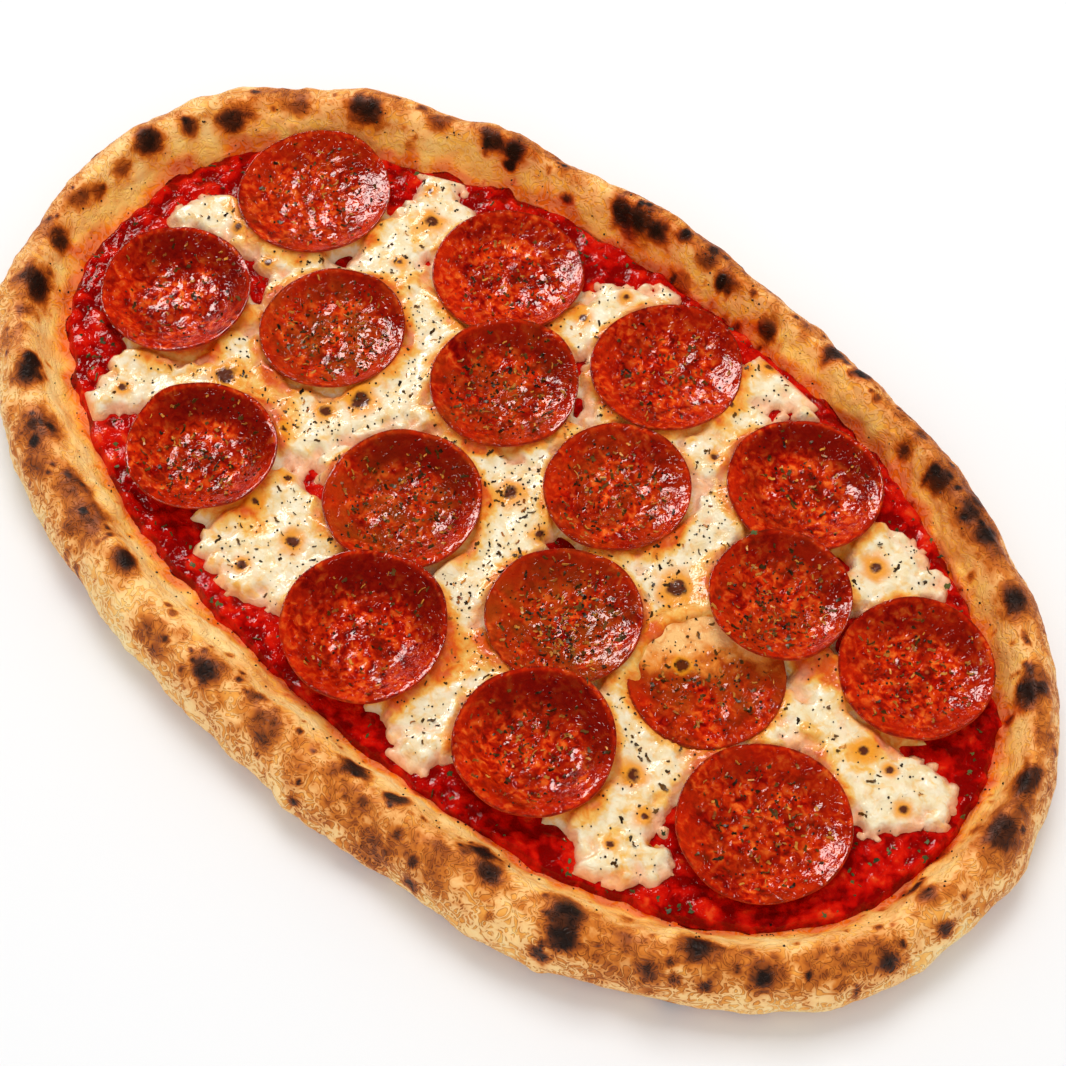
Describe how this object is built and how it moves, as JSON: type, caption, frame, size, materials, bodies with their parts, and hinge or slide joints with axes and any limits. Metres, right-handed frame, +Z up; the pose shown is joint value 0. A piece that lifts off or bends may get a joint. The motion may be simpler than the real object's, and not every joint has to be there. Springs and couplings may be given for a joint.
{
  "type": "pepperoni flatbread pizza",
  "caption": "Whole oval flatbread pizza with a puffed, blistered rim, tomato sauce, melted cheese pools and curled pepperoni slices, lying flat on its baked base.",
  "frame": {"origin": "middle of the oval on the flat underside of the crust", "axes": "+X along the long axis of the oval, +Y across it towards the narrower side of the rim, +Z up through the toppings"},
  "size_m": [0.3036, 0.183, 0.0246],
  "materials": {
    "baked_crust": "baked dough, dry and finely wrinkled, cream to golden with toasted and charred blisters",
    "tomato_sauce": "wet chunky tomato sauce with a film of oil",
    "melted_cheese": "melted mozzarella, soft sheen, with yellow oil stains and browned spots",
    "pepperoni": "cured sausage slice, glossy with oil, mottled with fat, darker in the cups"
  },
  "bodies": {
    "root": {"crust": "baked_crust", "sauce": "tomato_sauce", "cheese": "melted_cheese", "pepperoni_01": "pepperoni", "pepperoni_02": "pepperoni", "pepperoni_03": "pepperoni", "pepperoni_04": "pepperoni", "pepperoni_05": "pepperoni", "pepperoni_06": "pepperoni", "pepperoni_07": "pepperoni", "pepperoni_08": "pepperoni", "pepperoni_09": "pepperoni", "pepperoni_10": "pepperoni", "pepperoni_11": "pepperoni", "pepperoni_12": "pepperoni", "pepperoni_13": "pepperoni", "pepperoni_14": "pepperoni", "pepperoni_15": "pepperoni", "pepperoni_16": "pepperoni", "pepperoni_17": "pepperoni"}
  },
  "joints": []
}
